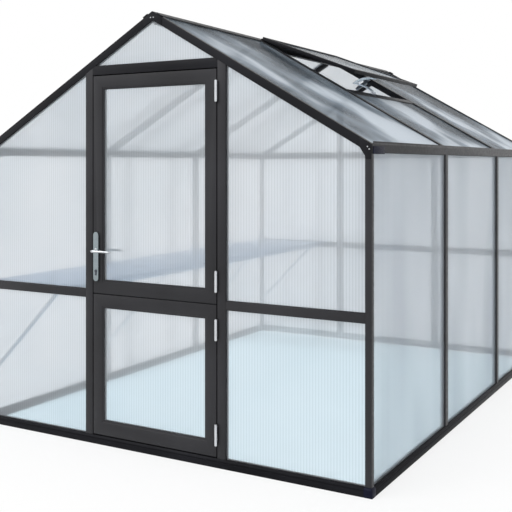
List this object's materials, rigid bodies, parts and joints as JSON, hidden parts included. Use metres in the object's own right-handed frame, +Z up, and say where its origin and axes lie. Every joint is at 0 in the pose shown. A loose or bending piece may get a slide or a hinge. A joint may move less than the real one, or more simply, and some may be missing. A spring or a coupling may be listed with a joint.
{
  "type": "polycarbonate greenhouse",
  "caption": "Walk-in gable greenhouse: dark aluminium frame, twin-wall polycarbonate sheets, stable-type door in two leaves, open roof vent with opener, shelf on braces.",
  "frame": {"origin": "centre of the whole's box on the ground, between the side walls, the door's lever and the rear base corners", "axes": "+X to the right as seen from outside the door, +Y from the door wall to the rear wall, +Z up"},
  "size_m": [2.514, 3.471, 2.3661],
  "materials": {
    "frame_paint": "satin dark grey powder coat",
    "cover_plastic": "matt dark moulded plastic",
    "twinwall_sheet": "clear ribbed twin-wall sheet",
    "shelf_metal": "mill-finish aluminium",
    "hardware": "satin silver"
  },
  "bodies": {
    "shell": {"base_front_rail": "frame_paint", "base_rear_rail": "frame_paint", "base_left_rail": "frame_paint", "base_right_rail": "frame_paint", "corner_posts": "frame_paint", "door_posts": "frame_paint", "door_header": "frame_paint", "front_mid_rails": "frame_paint", "rear_posts": "frame_paint", "rear_mid_rails": "frame_paint", "rear_tie_rails": "frame_paint", "left_mullions": "frame_paint", "right_mullions": "frame_paint", "left_eave_beam": "frame_paint", "right_eave_beam": "frame_paint", "ridge_beam": "frame_paint", "front_rafters": "frame_paint", "rear_rafters": "frame_paint", "left_roof_bars": "frame_paint", "right_roof_bars": "frame_paint", "eave_gussets": "frame_paint", "ridge_gussets": "frame_paint", "vent_trimmer": "frame_paint", "vent_frame": "frame_paint", "base_corners": "cover_plastic", "eave_covers": "cover_plastic", "vent_sheet": "twinwall_sheet", "front_sheets": "twinwall_sheet", "rear_sheets": "twinwall_sheet", "left_sheets": "twinwall_sheet", "right_sheets": "twinwall_sheet", "left_roof_sheets": "twinwall_sheet", "right_roof_sheets": "twinwall_sheet", "shelf_rails": "shelf_metal", "shelf_bearers": "shelf_metal", "shelf_deck": "shelf_metal", "shelf_braces": "shelf_metal", "frame_hinges": "hardware", "vent_opener": "hardware"},
    "upper_leaf": {"upper_leaf_frame": "frame_paint", "upper_leaf_sheet": "twinwall_sheet", "upper_leaf_hinges": "hardware", "handle_plates": "hardware", "lock_cylinder": "hardware"},
    "lower_leaf": {"lower_leaf_frame": "frame_paint", "lower_leaf_sheet": "twinwall_sheet", "lower_leaf_hinges": "hardware"},
    "lever": {"door_lever": "hardware"}
  },
  "joints": [
    {"name": "upper_leaf_hinge", "type": "hinge", "parent": "shell", "child": "upper_leaf", "pos_m": [0.4055, -1.6848, 1.434], "axis": [0, 0, 1], "range_deg": [0, 170]},
    {"name": "lower_leaf_hinge", "type": "hinge", "parent": "shell", "child": "lower_leaf", "pos_m": [0.4055, -1.6848, 0.44], "axis": [0, 0, 1], "range_deg": [0, 170]},
    {"name": "lever_turn", "type": "hinge", "parent": "upper_leaf", "child": "lever", "pos_m": [-0.3795, -1.6605, 1.068], "axis": [0, 1, 0], "range_deg": [0, 40], "stiffness_Nm_per_rad": 1.5, "springref_deg": -22.92}
  ]
}
